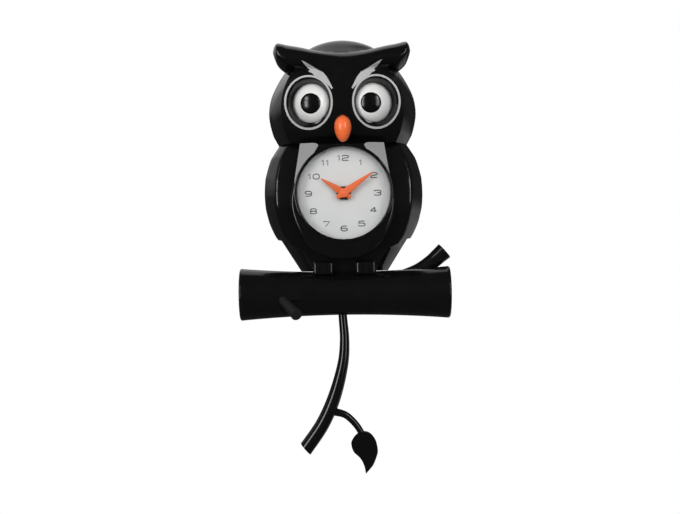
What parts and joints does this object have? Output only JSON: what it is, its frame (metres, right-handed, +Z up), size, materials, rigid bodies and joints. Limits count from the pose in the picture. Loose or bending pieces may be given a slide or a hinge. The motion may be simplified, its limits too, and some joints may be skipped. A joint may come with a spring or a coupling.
{
  "type": "owl pendulum wall clock",
  "caption": "Wall clock shaped as an owl on a log, with a round dial in its belly and a branch pendulum that swings and turns its eyes from side to side.",
  "frame": {"origin": "on the flat back that lies against the wall, on the centre line, 16 mm above the middle of the keyhole's entry", "axes": "+Y into the wall, +Z up, +X to the viewer's right"},
  "size_m": [0.1693, 0.0815, 0.3536],
  "materials": {
    "gloss_black": "high gloss black",
    "orange": "gloss orange",
    "eye_white": "gloss white",
    "dial_white": "satin white with printed numerals",
    "clear": "clear polished",
    "black_plastic": "fine matt texture",
    "grey_plastic": "satin moulded",
    "steel": "plated",
    "brass": "turned",
    "board_green": "solder mask",
    "copper": "enamelled winding",
    "rubber": "matt"
  },
  "bodies": {
    "case": {"head_shell": "gloss_black", "body_shell": "gloss_black", "log_front": "gloss_black", "log_rear": "gloss_black", "twig": "gloss_black", "peg": "gloss_black", "left_foot": "gloss_black", "right_foot": "gloss_black", "dial_bezel": "gloss_black", "beak": "orange", "dial_plate": "dial_white", "dial_lens": "clear", "rear_cover": "black_plastic", "movement_front": "black_plastic", "movement_case": "black_plastic", "eye_plate_upper": "black_plastic", "eye_plate_lower": "black_plastic", "drive_case": "black_plastic", "case_screw_1": "steel", "case_screw_2": "steel", "case_screw_3": "steel", "case_screw_4": "steel", "log_screw_left": "steel", "log_screw_right": "steel", "perch_screw_left": "steel", "perch_screw_right": "steel", "battery": "steel", "battery_contact_negative": "steel", "battery_contact_positive": "steel", "minute_wheel_stud": "steel", "pivot_pin": "steel", "pivot_clip": "steel", "mounting_nut": "brass", "circuit_board": "board_green", "motor_coil": "copper", "drive_coil": "copper", "dial_washer": "rubber"},
    "pendulum": {"pendulum_hanger": "black_plastic", "hanger_magnet": "steel", "pendulum_rod": "steel", "pendulum_branch": "gloss_black", "pendulum_leaf": "gloss_black"},
    "eye_link": {"eye_link": "grey_plastic"},
    "left_eye": {"left_eyeball": "eye_white", "left_pupil": "gloss_black"},
    "right_eye": {"right_eyeball": "eye_white", "right_pupil": "gloss_black"},
    "minute": {"minute_hand": "orange", "cannon_pinion": "brass"},
    "hour": {"hour_hand": "orange", "hour_wheel": "brass"},
    "minute_wheel": {"minute_wheel": "brass"},
    "setting": {"set_arbor": "brass", "set_knob": "black_plastic"}
  },
  "joints": [
    {"name": "pendulum_swing", "type": "hinge", "parent": "case", "child": "pendulum", "pos_m": [0, -0.0175, -0.071], "axis": [0, 1, 0], "range_deg": [-5, 5]},
    {"name": "eye_link_slide", "type": "slide", "parent": "case", "child": "eye_link", "axis": [1, 0, 0], "range_m": [-0.0039, 0.0039]},
    {"name": "left_eye_turn", "type": "hinge", "parent": "case", "child": "left_eye", "pos_m": [-0.022, -0.052, -0.0273], "axis": [0, 0, 1], "range_deg": [-15.2, 15.2]},
    {"name": "right_eye_turn", "type": "hinge", "parent": "case", "child": "right_eye", "pos_m": [0.022, -0.052, -0.0273], "axis": [0, 0, 1], "range_deg": [-15.2, 15.2]},
    {"name": "minute_hand_turn", "type": "hinge", "parent": "case", "child": "minute", "pos_m": [0, -0.06, -0.098], "axis": [0, 1, 0], "continuous": true},
    {"name": "hour_hand_turn", "type": "hinge", "parent": "case", "child": "hour", "pos_m": [0, -0.059, -0.098], "axis": [0, 1, 0], "continuous": true},
    {"name": "minute_wheel_turn", "type": "hinge", "parent": "case", "child": "minute_wheel", "pos_m": [0.0108, -0.049, -0.098], "axis": [0, 1, 0], "continuous": true},
    {"name": "set_knob_turn", "type": "hinge", "parent": "case", "child": "setting", "pos_m": [0.0216, -0.034, -0.098], "axis": [0, 1, 0], "continuous": true}
  ],
  "couplings": [
    {"joint": "eye_link_slide", "follows": "pendulum_swing", "m_per_rad": 0.0433},
    {"joint": "left_eye_turn", "follows": "pendulum_swing", "ratio": -3.014},
    {"joint": "right_eye_turn", "follows": "pendulum_swing", "ratio": -3.014},
    {"joint": "hour_hand_turn", "follows": "minute_hand_turn", "ratio": 0.083333},
    {"joint": "minute_wheel_turn", "follows": "minute_hand_turn", "ratio": -0.33333},
    {"joint": "set_knob_turn", "follows": "minute_hand_turn", "ratio": 1}
  ]
}
